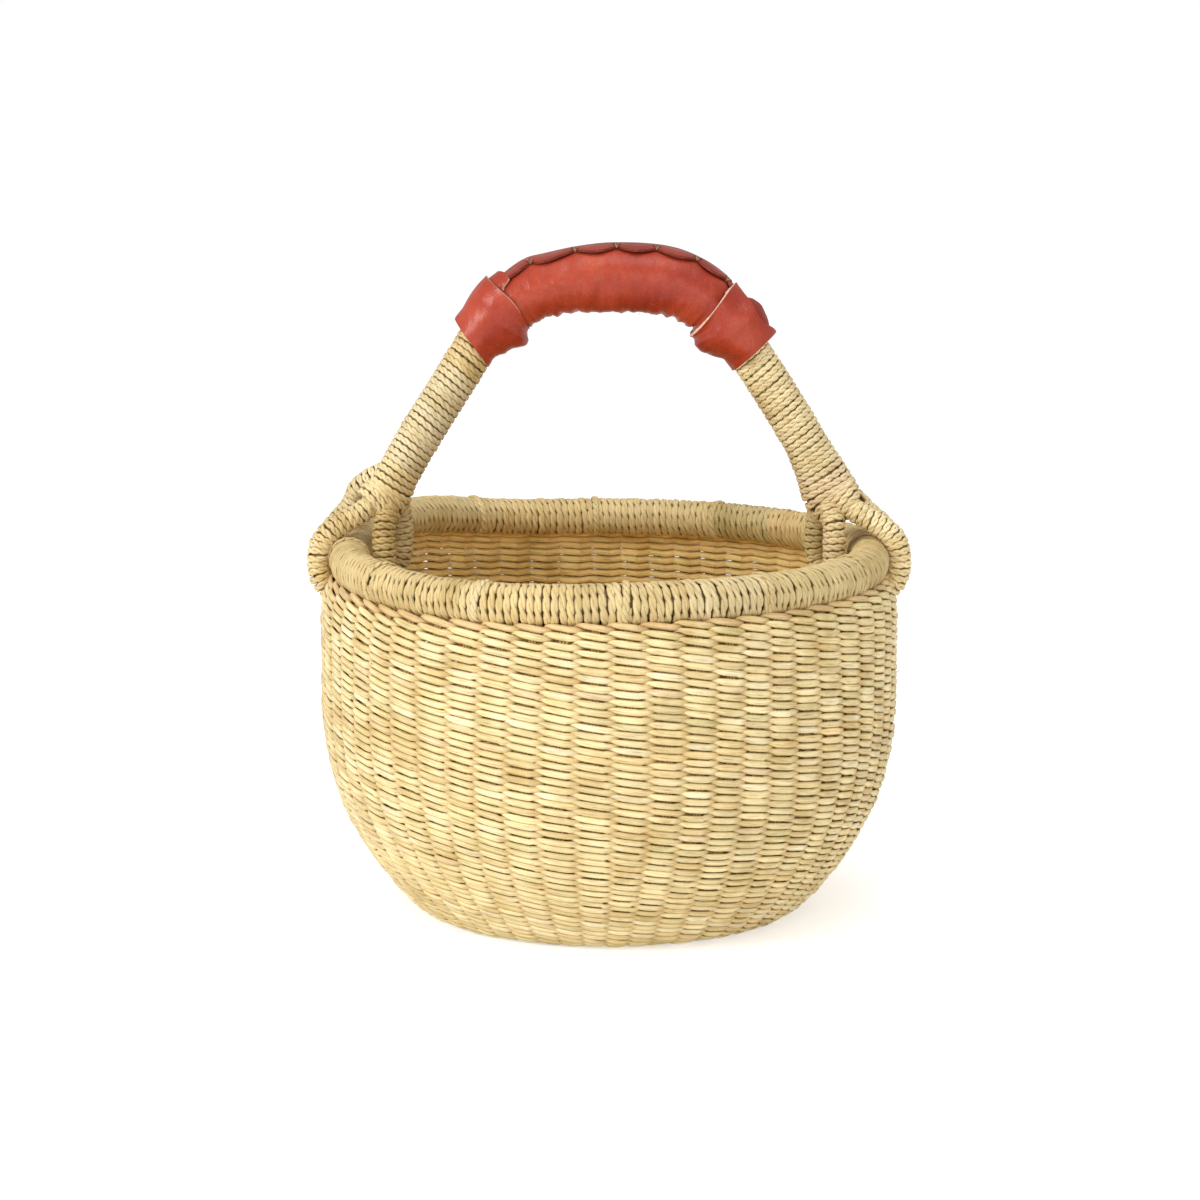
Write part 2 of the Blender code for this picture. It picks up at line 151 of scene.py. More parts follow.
# Each eye's middle line: outward from the rim's middle, up, and sideways, as shares
front_eye_shares = ((-0.34, 1.42, 0.59), (0.34, 1.06, 0.82), (0.84, 0.60, 0.96), (0.99, -0.06, 1),
                    (0.84, -0.76, 1), (0.30, -1.15, 1), (-0.22, -1.19, 1), (-0.76, -0.94, 1),
                    (-1.08, -0.38, 1), (-1.13, 0.38, 0.95), (-1.15, 1.06, 0.80))
rear_eye_starts = {1: ((-0.44, 1.78, 0.59), (0.02, 1.36, 0.82), (0.60, 0.84, 0.96), (0.99, 0.16, 1)),
                   -1: ((-0.20, 2.05, 0.70), (0.06, 1.52, 0.88), (0.55, 0.95, 0.97), (0.99, 0.16, 1))}
rear_eye_shares = ((0.95, -0.56, 1), (0.45, -1.10, 1), (-0.15, -1.19, 1), (-0.76, -1.02, 1),
                   (-1.28, -0.64, 1), (-1.54, 0, 1), (-1.56, 0.76, 0.93), (-1.50, 1.42, 0.73))
# How each leg's winding widens towards the foot: where it starts and ends, and by how much
foot_flares = {-1: (-0.010, 0.010, 0.0026), 1: (-0.028, 0.004, 0.0032)}
left_leg_bow = 0.0016
leg_start = cuff_end - 0.008
# The end of each leg's winding, past the foot: outward, backward and up, as real lengths
leg_ends = {-1: (0.0068, -0.002, -0.0066), 1: (0.0084, -0.002, -0.0084)}

# Straw colours, as linear light, and how often each comes: cream, wheat, honey, pale, moss, rose
straw_colours = np.array(((0.905, 0.770, 0.445), (0.875, 0.730, 0.405), (0.830, 0.665, 0.345),
                          (0.925, 0.815, 0.530), (0.855, 0.750, 0.410), (0.880, 0.715, 0.430)))
straw_shares = (0.42, 0.31, 0.09, 0.08, 0.06, 0.04)
# Painted shade: how dark a straw is on the side that lies against its neighbours
hidden_shade = (0.34, 0.27, 0.18)
inner_shade = (0.95, 0.84, 0.62)
inside_gap_shade = (0.36, 0.28, 0.19)
# From where to where a straw's painted shade gives way, from -1 at its hidden side to 1 at its open one
straw_lit_sides = (-0.6, 0.35)
ply_lit_sides = (-0.45, 0.80)
# Painted light: straws on the inside of the bowl are made brighter and warmer, for the light that bounces
# about in it
lining_light = (1.10, 0.98, 0.74)
inward_light = (1.16, 1.08, 0.86)
# Painted shade on straws that lie inside the wall, in the rolled rim under its binding, and under the
# handle's wraps
stake_shade = (0.76, 0.65, 0.48)
rolled_shade = (0.62, 0.54, 0.42)
bundle_shade = (0.66, 0.58, 0.45)
# Painted shade that makes the rim's wraps darker and browner all round
rim_shade = (0.82, 0.77, 0.675)
# The left leg and its eyes are a little darker than the right ones
handle_tints = {-1: (0.87, 0.84, 0.81), 1: (0.99, 0.985, 1.02)}
stitch_tint = (0.30, 0.24, 0.10)
fuzz_tint = (0.80, 0.66, 0.68)

# Stage: each lamp's place, the height it faces, its size and its power
lamps = {"key": ((-1.20, -0.86, 0.80), 0.12, 0.6, 12), "fill": ((0.40, -1.6, 0.50), 0.10, 0.9, 4.5),
         "top": ((0.1, -0.30, 1.3), 0.15, 0.8, 4)}
# How bright the world and the floor's glow are, and how much more the camera sees of them
world_light = (0.62, 0.38)
floor_glow = (0.17, 0.33)
camera_distance = 1.6
camera_tilt = math.radians(10.38)
camera_aim = Vector((-0.0040, 0, 0.1352))
camera_lens = 109.0


# Materials

def fill_inputs(tree, node, inputs):
    """Give a node's inputs their plain values, or link them to other nodes' outputs."""
    for key, value in inputs.items():
        if isinstance(value, bpy.types.NodeSocket):
            tree.links.new(value, node.inputs[key])
        else:
            node.inputs[key].default_value = value


def add_node(tree, kind, inputs, **settings):
    node = tree.nodes.new(kind)
    for key, value in settings.items():
        setattr(node, key, value)
    fill_inputs(tree, node, inputs)
    return node


def new_material(name):
    material = bpy.data.materials.new(name)
    material.use_nodes = True
    return material, material.node_tree


def object_place(tree):
    return add_node(tree, "ShaderNodeTexCoord", {}).outputs["Object"]


def stretched(tree, place, scales):
    return add_node(tree, "ShaderNodeMapping", {"Vector": place, "Scale": scales}).outputs[0]


def grain(tree, place, scale, detail, roughness=0.5):
    inputs = {"Vector": place, "Scale": scale, "Detail": detail, "Roughness": roughness}
    return add_node(tree, "ShaderNodeTexNoise", inputs).outputs["Fac"]


def blotches(tree, scale, detail):
    return grain(tree, object_place(tree), scale, detail)


def ramp(tree, source, stops):
    """A colour ramp from a noise value to colours or greys."""
    band = add_node(tree, "ShaderNodeValToRGB", {"Fac": source})
    elements = band.color_ramp.elements
    while len(elements) < len(stops):
        elements.new(0.5)
    for element, (at, value) in zip(elements, stops):
        element.position = at
        element.color = (*value, 1) if isinstance(value, tuple) else (value, value, value, 1)
    return band.outputs["Color"]


def multiplied(tree, first, second, share=1):
    mix = add_node(tree, "ShaderNodeMix", {}, data_type="RGBA", blend_type="MULTIPLY")
    fill_inputs(tree, mix, {0: share, 6: first, 7: second})
    return mix.outputs[2]


def scaled_sum(tree, value, factor, term):
    """The value times the factor, plus the term."""
    inputs = {0: value, 1: factor, 2: term}
    return add_node(tree, "ShaderNodeMath", inputs, operation="MULTIPLY_ADD").outputs[0]


def seen_level(tree, level, more):
    """A strength of light, and how much more of it the camera sees."""
    ray = add_node(tree, "ShaderNodeLightPath", {}).outputs["Is Camera Ray"]
    return scaled_sum(tree, ray, more, level)


def set_surface(tree, colour, roughness, shine, height, strength, depth):
    """The main shader's colour and shine, with a relief of the given strength and depth."""
    relief = add_node(tree, "ShaderNodeBump", {"Height": height, "Strength": strength, "Distance": depth})
    fill_inputs(tree, tree.nodes["Principled BSDF"], {
        "Base Color": colour, "Roughness": roughness, "Specular IOR Level": shine,
        "Normal": relief.outputs["Normal"]})


def straw_material(name, gloss):
    """Dry grass straw: fibres along its length, blotches, and the colour of its own run, into which
    painted shade and light are laid.
    """
    material, tree = new_material(name)
    straw_place = add_node(tree, "ShaderNodeUVMap", {}, uv_map="straw").outputs[0]
    fibre = grain(tree, stretched(tree, straw_place, (90, 3200, 1)), 1, 3, 0.6)
    fibres = ramp(tree, fibre, ((0.28, (0.60, 0.50, 0.36)), (0.46, (0.93, 0.90, 0.84)),
                                (0.72, (1.12, 1.12, 1.10))))
    clouds = ramp(tree, blotches(tree, 70, 3), ((0.30, (0.82, 0.76, 0.62)), (0.55, 1),
                                                (0.75, (1.06, 1.05, 1.08))))
    tint = add_node(tree, "ShaderNodeVertexColor", {}, layer_name="straw_tint").outputs["Color"]
    colour = multiplied(tree, multiplied(tree, tint, fibres), clouds)
    rough = ramp(tree, fibre, ((0.3, gloss + 0.16), (0.7, gloss)))
    set_surface(tree, colour, rough, 0.42, fibre, 0.55, 0.00022)
    return material


def leather_material():
    """Soft red goat leather: mottled, creased, with a fine pebble, and darkened by the painted shade that
    each sheet carries.
    """
    material, tree = new_material("red_leather")
    cloud = blotches(tree, 55, 4)
    tones = ramp(tree, cloud, ((0.32, (0.300, 0.026, 0.010)), (0.52, (0.390, 0.042, 0.016)),
                               (0.72, (0.470, 0.068, 0.028))))
    specks = ramp(tree, blotches(tree, 900, 2), ((0.35, (0.88, 0.84, 0.82)), (0.6, 1.03)))
    painted_shade = add_node(tree, "ShaderNodeAttribute", {}, attribute_name="painted_shade").outputs["Fac"]
    shades = ramp(tree, painted_shade, ((0, 1), (1, 0.40)))
    colour = multiplied(tree, multiplied(tree, tones, specks, 0.8), shades)
    place = object_place(tree)
    pebble = add_node(tree, "ShaderNodeTexVoronoi", {"Vector": place, "Scale": 1500}, feature="SMOOTH_F1")
    fine = scaled_sum(tree, blotches(tree, 260, 5), 0.9, pebble.outputs["Distance"])
    pucker = grain(tree, stretched(tree, place, (290, 95, 85)), 1, 3)
    rough = ramp(tree, cloud, ((0.3, 0.40), (0.7, 0.33)))
    set_surface(tree, colour, rough, 0.38, scaled_sum(tree, pucker, 6.0, fine), 0.28, 0.00028)
    return material


def fibre_material(name, low, high, scale, roughness):
    """Cut leather edges and thong: pale or dark fibres without a grain side."""
    material, tree = new_material(name)
    cloud = blotches(tree, scale, 4)
    set_surface(tree, ramp(tree, cloud, ((0.35, low), (0.65, high))), roughness, 0.5, cloud, 0.4, 0.0002)
    return material


def floor_material():
    """A white floor that keeps the basket's soft shadow."""
    material, tree = new_material("white_floor")
    shader = tree.nodes["Principled BSDF"]
    fill_inputs(tree, shader, {"Base Color": (0.86, 0.86, 0.86, 1), "Roughness": 0.9,
                               "Specular IOR Level": 0.1})
    glow = add_node(tree, "ShaderNodeEmission", {"Color": (1, 1, 1, 1),
                                                 "Strength": seen_level(tree, *floor_glow)})
    both = add_node(tree, "ShaderNodeAddShader", {0: shader.outputs[0], 1: glow.outputs[0]})
    fill_inputs(tree, tree.nodes["Material Output"], {"Surface": both.outputs[0]})
    return material


# Straw templates, drawn once and copied

def switch_to(mode):
    bpy.ops.object.mode_set(mode=mode)


def start_clean():
    if bpy.context.mode != "OBJECT":
        switch_to("OBJECT")
    bpy.ops.object.select_all(action="DESELECT")


def cut_across(drawn, parts):
    """Cut a straw's long edges into parts, so that it has rings along its length."""
    switch_to("EDIT")
    bpy.ops.mesh.select_mode(type="EDGE")
    bpy.ops.mesh.select_all(action="DESELECT")
    switch_to("OBJECT")
    points = drawn.data.vertices
    for edge in drawn.data.edges:
        low, high = edge.vertices
        edge.select = abs(points[low].co.z - points[high].co.z) > 0.00001
    switch_to("EDIT")
    bpy.ops.mesh.subdivide(number_cuts=parts - 1)
    switch_to("OBJECT")


def draw_straight(parts, sides):
    """A straight straw along Z, cut into parts of parts."""
    start_clean()
    bpy.ops.mesh.primitive_cylinder_add(vertices=sides, radius=1, depth=2)
    for number in parts:
        cut_across(bpy.context.active_object, number)
    return bpy.context.active_object


def draw_ring(steps, sides):
    """A ring of straw: its round section, spun about Z."""
    start_clean()
    bpy.ops.mesh.primitive_circle_add(vertices=sides, radius=0.25, location=(1, 0, 0),
                                      rotation=(math.pi / 2, 0, 0))
    bpy.ops.object.transform_apply(location=True, rotation=True, scale=True)
    switch_to("EDIT")
    bpy.ops.mesh.select_all(action="SELECT")
    bpy.ops.mesh.spin(steps=steps, angle=math.tau, center=(0, 0, 0), axis=(0, 0, 1))
    bpy.ops.mesh.select_all(action="SELECT")
    bpy.ops.mesh.remove_doubles(threshold=0.0001)
    bpy.ops.mesh.normals_make_consistent(inside=False)
    switch_to("OBJECT")
    return bpy.context.active_object


def squared(values):
    """A round section's sines or cosines, made a little squarer."""
    return np.sign(values) * np.abs(values) ** 0.75


class Template:
    """A straw drawn once, straight or as a ring, to be copied along many paths."""

    def __init__(self, parts, sides, closed=False):
        steps = math.prod(parts)
        drawn = draw_ring(steps, sides) if closed else draw_straight(parts, sides)
        points = np.array([vert.co for vert in drawn.data.vertices])
        if closed:
            turn = np.arctan2(points[:, 1], points[:, 0]) / math.tau
            self.station = np.round(turn * steps).astype(int) % steps
            self.angle = np.arctan2(points[:, 2], np.hypot(points[:, 0], points[:, 1]) - 1)
        else:
            self.station = np.round((points[:, 2] + 1) / 2 * steps).astype(int)
            self.angle = -np.arctan2(points[:, 1], points[:, 0])
        self.count = steps if closed else steps + 1
        self.closed = closed
        self.across = squared(np.sin(self.angle))
        self.deep = squared(np.cos(self.angle))
        self.faces = [tuple(face.vertices) for face in drawn.data.polygons]
        self.uv = np.concatenate([self.face_places(face, steps) for face in self.faces])
        bpy.data.objects.remove(drawn, do_unlink=True)

    def face_places(self, face, steps):
        """UV places of one face, carried past the seam where the straw closes on itself."""
        along = self.station[list(face)] / steps
        around = self.angle[list(face)] / math.tau
        if self.closed and np.ptp(along) > 0.5:
            along = np.where(along < 0.5, along + 1, along)
        if len(face) == 4 and np.ptp(around) > 0.5:
            around = np.where(around < 0, around + 1, around)
        return np.stack([along, around], axis=1)


def unit(vectors):
    return vectors / np.linalg.norm(vectors, axis=1)[:, None]


def directions(middle, closed):
    """Unit steps along a path."""
    ahead = np.roll(middle, -1, axis=0) - np.roll(middle, 1, axis=0)
    if not closed:
        ahead[0] = middle[1] - middle[0]
        ahead[-1] = middle[-1] - middle[-2]
    return unit(ahead)


class Straws:
    """Laid copies of templates, gathered into one piece."""

    def __init__(self):
        self.points = []
        self.tints = []
        self.uvs = []
        self.faces = []
        self.size = 0

    def lay(self, template, middle, out, half_across, half_out, tint, seen=1, hidden=hidden_shade,
            lit_sides=straw_lit_sides):
        """One copy along a path: points, outward directions, half sizes and colours.

        seen is 1 where the straw's outward side is open to the light and -1 where the inward
        side is. The other side takes the hidden shade, painted into its colour.
        """
        count = len(middle)
        at = template.station
        ahead = directions(middle, template.closed)
        out = unit(out - ahead * np.sum(out * ahead, axis=1)[:, None])
        across = np.cross(out, ahead)
        wide = np.broadcast_to(half_across, (count,))[at] * template.across
        deep = np.broadcast_to(half_out, (count,))[at] * template.deep
        self.points.append(middle[at] + deep[:, None] * out[at] + wide[:, None] * across[at])
        open_side = np.broadcast_to(seen, (count,))[at] * np.cos(template.angle)
        lit = np.interp(open_side, lit_sides, (0, 1))[:, None]
        shade = lit + (1 - lit) * np.broadcast_to(hidden, (count, 3))[at]
        self.tints.append(np.broadcast_to(tint, (count, 3))[at] * shade)
        start = chance.random() * 3
        self.uvs.append(template.uv * (lengths_along(middle)[-1], straw_girth) + (start, start))
        self.faces += [tuple(corner + self.size for corner in face) for face in template.faces]
        self.size += len(at)

    def gather(self, name, material, body, slot, *nodes):
        mesh = bpy.data.meshes.new(name)
        mesh.from_pydata(np.concatenate(self.points).tolist(), [], self.faces)
        # Each straw's own colour, with its painted shade and painted light laid into it
        tint = mesh.color_attributes.new("straw_tint", "FLOAT_COLOR", "POINT")
        shades = np.ones((self.size, 4), dtype=np.float32)
        shades[:, :3] = np.concatenate(self.tints)
        tint.data.foreach_set("color", shades.ravel())
        layer = mesh.uv_layers.new(name="straw")
        layer.data.foreach_set("uv", np.concatenate(self.uvs).astype(np.float32).ravel())
        mesh.shade_smooth()
        mesh.materials.append(material)
        seat(put_in_scene(name, mesh), body, slot, *nodes)


def put_in_scene(name, data):
    holder = bpy.data.objects.new(name, data)
    bpy.context.scene.collection.objects.link(holder)
    return holder


def seat(piece, body, slot, *nodes):
    """Give a finished piece its body and hide the frame's nodes it stands for. The slot is not used."""
    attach(piece, body)
    if nodes:
        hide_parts(*nodes)


def straw_colour():
    """One straw's colour: a kind of straw, a little lighter or darker."""
    kind = straw_colours[chance.choice(len(straw_colours), p=straw_shares)]
    return kind * (1 + 0.05 * chance.standard_normal())


def colour_runs(count, shortest, longest):
    """A colour for each step of a long row, which changes where a new straw is added."""
    colours = np.zeros((count, 3))
    at = 0
    while at < count:
        run = int(chance.integers(shortest, longest))
        colours[at:at + run] = straw_colour()
        at += run
    return colours * (1 + 0.03 * chance.standard_normal((count, 1)))


# Curves

def step_up(value, start, end):
    share = np.clip((value - start) / (end - start), 0, 1)
    return share * share * (3 - 2 * share)


def hump(value, middle, spread):
    """1 at the middle, and nearly 0 two spreads away."""
    return np.exp(-((value - middle) / spread) ** 2)


def lengths_along(points):
    return np.concatenate(([0], np.cumsum(np.linalg.norm(np.diff(points, axis=0), axis=1))))


def read_line(at, stations, points):
    """Points of a line at the given lengths along it."""
    return np.stack([np.interp(at, stations, values) for values in points.T], axis=1)


# Bowl

def wall_outer(height):
    low = 1 - (1 - np.minimum(height, belly_height) / belly_height) ** belly_power
    share = np.maximum(height - belly_height, 0) / (mouth_height - belly_height)
    high = (belly_radius - mouth_radius) * share ** mouth_power
    return base_radius + (belly_radius - base_radius) * low - high


def bowl_line():
    """The weave's middle line, from the mat's edge along the bottom and up to the rim."""
    flat = half_weave + floor_gap
    heights = np.linspace(side_start, mouth_height, 160)
    step = 0.0004
    slope = (wall_outer(heights + step) - wall_outer(heights - step)) / (2 * step)
    slant = np.hypot(1, slope)
    radii = wall_outer(heights) - half_weave / slant
    levels = heights + half_weave * slope / slant
    bottom = [(radius, flat) for radius in np.linspace(mat_radius, flat_radius, 20)]
    corner = [(radius, flat + rise) for radius, rise in corner_points]
    line = np.array(bottom + corner + list(zip(radii, levels)))
    clear = np.hypot(line[:, 0] - rim_radius, line[:, 1] - rim_height) > rim_wrap_radius + rim_gap
    lengths = lengths_along(line[clear])
    even = np.linspace(0, lengths[-1], line_points)
    return even, read_line(even, lengths, line[clear])


bowl_lengths, bowl_points = bowl_line()
bowl_length = bowl_lengths[-1]
bowl_slopes = unit(np.gradient(bowl_points, bowl_lengths, axis=0))


def rim_sway(turn):
    """How far the rim stands above or below its even height at angles round the bowl."""
    total = np.zeros_like(turn)
    for middle, spread, height in rim_sways:
        total += height * hump((np.degrees(turn) - middle + 180) % 360 - 180, 0, spread)
    return total


def round_bowl(turn, reach, level):
    """Points at angles round the bowl, distances from its middle line and heights."""
    return np.stack([reach * np.cos(turn), reach * np.sin(turn), level + np.zeros_like(turn)], axis=1)


def bowl_radius(length):
    return np.interp(length, bowl_lengths, bowl_points[:, 0])


def on_bowl(turn, length, outward):
    """Points on the weave at angles round the bowl, lengths up its line and heights off it."""
    level = np.interp(length, bowl_lengths, bowl_points[:, 1])
    level = level + rim_sway(turn) * np.clip(length / bowl_length * 1.4 - 0.4, 0, 1)
    slope_radius = np.interp(length, bowl_lengths, bowl_slopes[:, 0])
    slope_level = np.interp(length, bowl_lengths, bowl_slopes[:, 1])
    points = round_bowl(turn, bowl_radius(length) + outward * slope_level, level - outward * slope_radius)
    return points, round_bowl(turn, slope_level, -slope_radius)


def wander(waves, turn, length):
    """Waves round the bowl, each of which turns as it goes up."""
    return sum(size * np.sin(count * turn + shift + pace * length) for size, count, shift, pace in waves)


def row_drift(turn, length):
    """How far hand-packed rows wander up and down, less near the mat and the rim."""
    room = np.clip(np.minimum(length, bowl_length - length) / 0.025, 0, 1)
    return room * wander(row_waves, turn, length)


def row_places(ring, length, count):
    """A row's angles round the bowl, and its places counted in columns."""
    turn = math.tau * np.arange(ring.count) / ring.count
    return turn, turn * count / math.tau + wander(column_waves, turn, length)


def row_lining(straws, lining, length, count):
    """The inside of a row between its floats: one straw that fills the hollow at each crossing."""
    turn, place = row_places(lining, length, count)
    outward = -0.0009 - 0.0005 * np.cos(math.tau * place)
    sink = 0.00042 * np.interp(place % 1, (0, 1 / 6, 5 / 6, 1), (0, -1, 1, 0))
    points, out = on_bowl(turn, length + sink + row_drift(turn, length), outward)
    # Painted light makes the lining brighter and warmer; its hidden side takes painted shade
    colours = colour_runs(2 * count, *row_runs)[np.floor(place).astype(int) % (2 * count)] * lining_light
    straws.lay(lining, points, out, 0.00157, 0.00072, colours, -1, inside_gap_shade)


def weaver_colours(colours, since, length, inward):
    """A weaver's colours: painted shade where it dives and under the rim, and painted light that makes it
    brighter and warmer on the inside.
    """
    light = np.interp(since, weaver_light[:, 0], weaver_light[:, 1])
    colours = colours * (np.array((0.66, 0.54, 0.38)) + np.outer(light, (0.34, 0.46, 0.62)))
    colours *= np.where(inward, inward_light, (1.0, 1.0, 1.0))
    return colours * (1 - step_up(length, bowl_length - 0.006, bowl_length) * np.array((0.16, 0.26, 0.38)))


def twined_row(straws, ring, length, count):
    """Two straws that turn about each other between the stakes, once round the bowl."""
    turn, place = row_places(ring, length, count)

    def uneven():
        return chance.standard_normal(2 * count)

    for half in (0, 1):
        travel = place + half
        since = (travel + 0.5) % 2 - 0.5
        number = np.floor(travel + 0.25).astype(int) % (2 * count)
        wide, outward = read_line(since, weaver_course[:, 0], weaver_course[:, 1:]).T
        seen = np.clip(outward / 0.0006, -1, 1)
        outward = outward * (1 + 0.10 * uneven()[number])
        deep = straw_half_depth * np.interp(np.abs(outward), (0.0004, 0.0014), (1.5, 1.0))
        boat = 0.85 * np.clip(weaver_half_width - wide, 0, 1) * np.clip(seen, 0, 1)
        wide = wide * np.clip(1 + 0.05 * uneven(), 0.86, 1.10)[number]
        lift = 0.00013 * uneven()[number] * np.abs(seen)
        slope = 2 * np.abs(travel % 2 - 1) - 1
        drop = crossing_drop * np.interp(outward, (-0.0012, 0.0004), (0.5, 1))
        sink = boat + drop * (0.5 * slope + 0.5 * np.cos(math.pi * travel))
        points, out = on_bowl(turn, length + sink + lift + row_drift(turn, length), outward)
        lowest = np.hypot(wide * np.hypot(out[:, 0], out[:, 1]), deep * out[:, 2])
        points[:, 2] = np.maximum(points[:, 2], lowest)
        inward = (outward < 0)[:, None]
        colours = weaver_colours(colour_runs(2 * count, *row_runs)[number], since, length, inward)
        # Painted shade on each straw's hidden side: dark between the wall's layers, lighter where seen
        # from inside the bowl
        hidden = np.where(inward, inside_gap_shade, inner_shade)
        straws.lay(ring, points, out, wide, deep, colours, seen, hidden)


def twined_rows(straw):
    """All the rows, from the mat's edge to the rim, in a few pieces."""
    rings = {count: (Template((count, steps_per_column), straw_sides, True),
                     Template((count, lining_steps), lining_sides, True))
             for count in (columns, columns // 2)}
    total = int(bowl_length / row_pitch)
    lengths = (np.arange(total) + 0.5) * bowl_length / total
    first_side = np.count_nonzero(bowl_radius(lengths) < bottom_edge)
    pieces = [("bottom_rows", "base_weave", lengths[:first_side])]
    for number, first in enumerate(range(first_side, total, rows_per_piece)):
        pieces.append((f"side_rows_{number + 1}", "side_weave", lengths[first:first + rows_per_piece]))
    for name, node, rows in pieces:
        laid = Straws()
        for length in rows:
            count = columns // 2 if bowl_radius(length) < halved_radius else columns
            ring, lining = rings[count]
            twined_row(laid, ring, length, count)
            row_lining(laid, lining, length, count)
        laid.gather(name, straw, "basket", "weave", node)


def stakes(straw):
    """The upright straws, three to a column, that the rows turn about."""
    upright = Template((44,), 5)
    laid = Straws()
    for column in range(columns):
        start = 0.001 if column % 2 else 0.018
        length = np.linspace(start, bowl_length + 0.001, upright.count)
        for sideways, half_width in stake_straws:
            turn = np.full(upright.count, math.tau * (column + 0.5) / columns)
            turn -= wander(column_waves, turn, length) * math.tau / columns
            turn += (sideways + 0.0001 * chance.standard_normal()) / bowl_radius(length)
            points, out = on_bowl(turn, length, 0)
            # The stakes take painted shade, as they lie inside the wall
            laid.lay(upright, points, out, half_width, 0.00065, straw_colour() * stake_shade)
    laid.gather("stakes", straw, "basket", "weave", "side_weave")


def plaited_mat(straw):
    """The start of the bottom: flat straws plaited one over, one under, cut to a disc."""
    strip = Template((40,), 6)
    laid = Straws()
    reach = mat_radius + 0.0022
    for along in (0, 1):
        for number, offset in enumerate(np.arange(-12, 13) * mat_pitch):
            if abs(offset) > reach - 0.003:
                continue
            half = math.sqrt(reach ** 2 - offset ** 2)
            run = np.linspace(-half, half, strip.count)
            wave = np.cos(math.pi * (run / mat_pitch + number + along))
            side = np.full(strip.count, offset) + 0.0001 * chance.standard_normal()
            flat = (run, side) if along else (side, run)
            points = np.stack([*flat, half_weave + floor_gap + 0.00072 * wave], axis=1)
            out = np.tile((0.0, 0.0, 1.0), (strip.count, 1))
            laid.lay(strip, points, out, 0.00142, 0.00062, straw_colour() * 0.92)
    laid.gather("start_mat", straw, "basket", "weave", "base_mat")


# Rim

def round_rim(turn, about):
    """The rim's middle line at angles round the bowl, and directions at angles about it."""
    up = np.array((0, 0, 1))
    outward = round_bowl(turn, 1, 0)
    middle = rim_radius * outward
    middle[:, 2] = rim_height + rim_sway(turn)
    return middle, np.cos(about)[:, None] * outward + np.sin(about)[:, None] * up


def rolled_core(straw):
    """The stake ends, rolled into a bundle under the binding."""
    ring = Template((180,), 5, True)
    turn = math.tau * np.arange(ring.count) / ring.count
    laid = Straws()
    for number in range(13):
        middle, out = round_rim(turn, math.tau * number / 13 + 3 * turn)
        # Painted shade: the rolled stakes lie under the binding
        laid.lay(ring, middle + 0.0052 * out, out, 0.0017, 0.0013, straw_colour() * rolled_shade)
    laid.gather("rolled_stakes", straw, "basket", "core", "rim_core")


def bunched(count):
    """How far each wrap is drawn sideways to the place where its group goes down together."""
    pull = np.zeros(count + 1)
    at = 0
    while at < count:
        group = int(chance.integers(2, 4))
        members = np.arange(at, min(at + group, count))
        pull[members] = (members.mean() - members) * 0.17
        at += group
    return pull


def lay_cord(straws, template, twist, place, ply, colours):
    """Two plies twisted about each other. place gives points from a sideways and an outward step."""
    half_width, half_depth, offset = ply
    for turned in (twist, twist + math.pi):
        points, out = place(offset * np.cos(turned), ply_rise * np.sin(turned))
        wide = half_width * (1 + 0.34 * np.abs(np.sin(turned)))
        straws.lay(template, points, out, wide, half_depth, colours, lit_sides=ply_lit_sides)


def rim_place(turn, about, radius):
    """Points round the rim's bundle, from steps along the rim and off it."""
    middle, out = round_rim(turn, about)

    def place(sideways, lifted):
        return middle + (radius + lifted)[:, None] * out + round_bowl(turn + math.pi / 2, sideways, 0), out
    return place


def rim_length(laid, strand, number):
    """One length of cord, wound about nineteen times round the rim."""
    turns_each = rim_wraps / rim_lengths
    count = math.ceil(turns_each) + 1
    wraps = np.linspace(0, turns_each, strand.count)
    about = -math.tau * wraps
    pull = bunched(count)
    which = np.clip(np.floor(wraps + 0.30).astype(int), 0, count)

    def uneven():
        return chance.standard_normal(count + 1)[which]

    low = hump(about % math.tau, 5.15, 0.75)
    wander_side = 0.08 * uneven() * np.cos(about - 1.0)
    lean = 0.40 * math.sin(number * 1.7 + 0.5) + 0.25
    side = wraps + pull[which] * low + wander_side + lean * (np.cos(about) - 1) * 0.5
    turn = (number * turns_each + side) * math.tau / rim_wraps + rim_start
    radius = rim_wrap_radius - rim_front_swell * np.sin(turn) + 0.0007 * low
    radius += np.abs(0.00018 * uneven())
    # Painted shade on each wrap's underside, where it goes down into the wall
    colours = colour_runs(count + 1, 7, 22)[which] * (1 - np.outer(low, (0.10, 0.15, 0.22)))
    twist = 4 * about + 0.5 * number + 0.45 * uneven()
    lay_cord(laid, strand, twist, rim_place(turn, about, radius), rim_ply, colours * rim_shade)


def rim_join(laid, strand, number):
    """A thinner turn of cord that covers the join between two lengths."""
    about = -math.tau * np.linspace(0.02, 1.04, strand.count)
    turn = np.full(strand.count, (number * rim_wraps / rim_lengths - 0.25) * math.tau / rim_wraps)
    turn += rim_start + 0.004 * np.sin(about)
    radius = rim_wrap_radius + 0.0010 - rim_front_swell * np.sin(turn)
    lay_cord(laid, strand, 8 * about, rim_place(turn, about, radius), rim_join_ply,
             straw_colour() * rim_shade)


def rim_binding(straw):
    """The lengths of two-ply straw that bind the rim, each with its join."""
    long_strand = Template((19, 26), 6)
    short_strand = Template((84,), 6)
    for number in range(rim_lengths):
        laid = Straws()
        rim_length(laid, long_strand, number)
        rim_join(laid, short_strand, number)
        label = f"{number + 1:02d}"
        laid.gather(f"rim_wrap_{label}", straw, "basket", "binding", f"rim_binding_{label}")


# Handle

